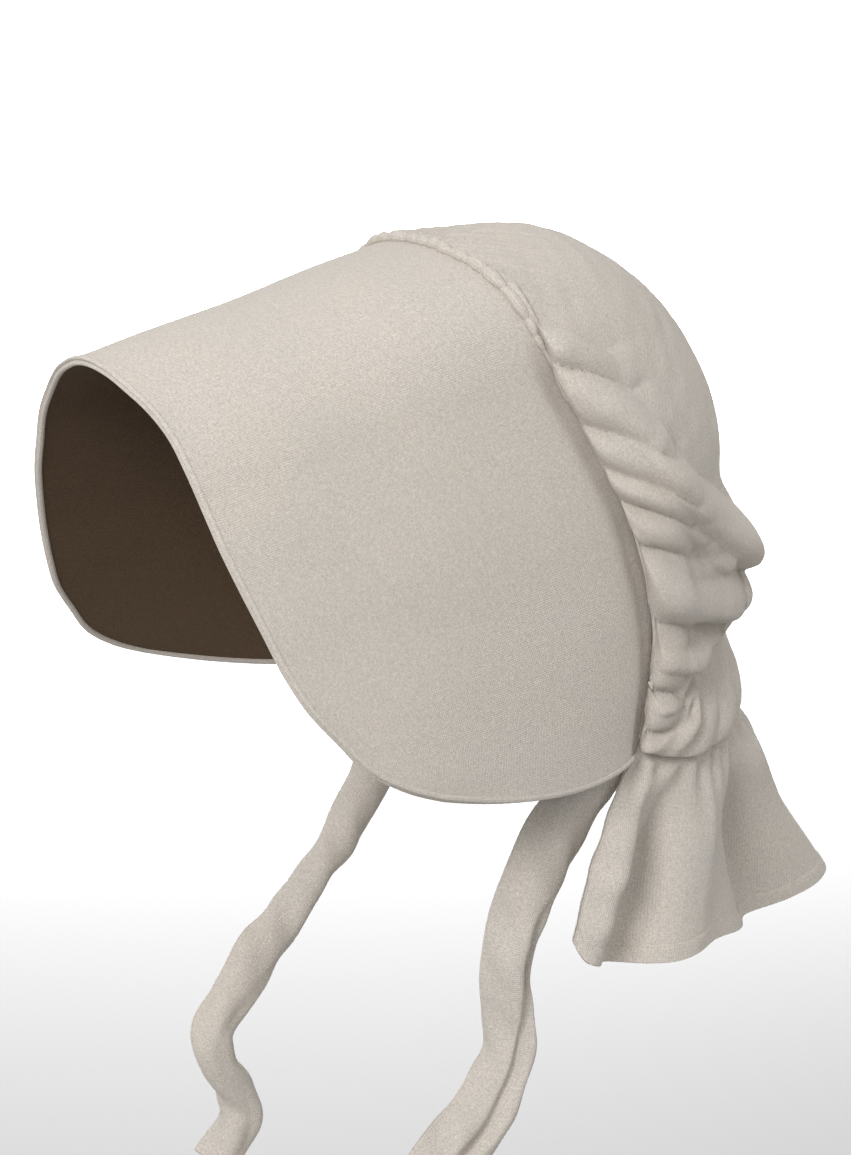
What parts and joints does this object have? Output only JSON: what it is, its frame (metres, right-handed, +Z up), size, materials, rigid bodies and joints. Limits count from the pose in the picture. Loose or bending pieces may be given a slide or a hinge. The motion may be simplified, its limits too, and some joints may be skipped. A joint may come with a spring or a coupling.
{
  "type": "poke bonnet",
  "caption": "Cloth poke bonnet with a deep stiffened brim, dark lining, gathered crown, nape curtain and ribbon ties, in its worn shape.",
  "frame": {"origin": "inside of the crown's top on the centre plane, where it sits on a head", "axes": "+Z up, +X to the wearer's left, +Y to the back of the head; the brim points along -Y"},
  "size_m": [0.2628, 0.4305, 0.5303],
  "materials": {
    "cream_cloth": "matte plain weave",
    "brown_lining": "matte plain weave"
  },
  "bodies": {
    "root": {"brim_shell": "cream_cloth", "brim_lining": "brown_lining", "brim_binding": "cream_cloth", "seam_heading": "cream_cloth", "crown": "cream_cloth", "curtain": "cream_cloth", "tie_left": "cream_cloth", "tie_right": "cream_cloth"}
  },
  "joints": []
}
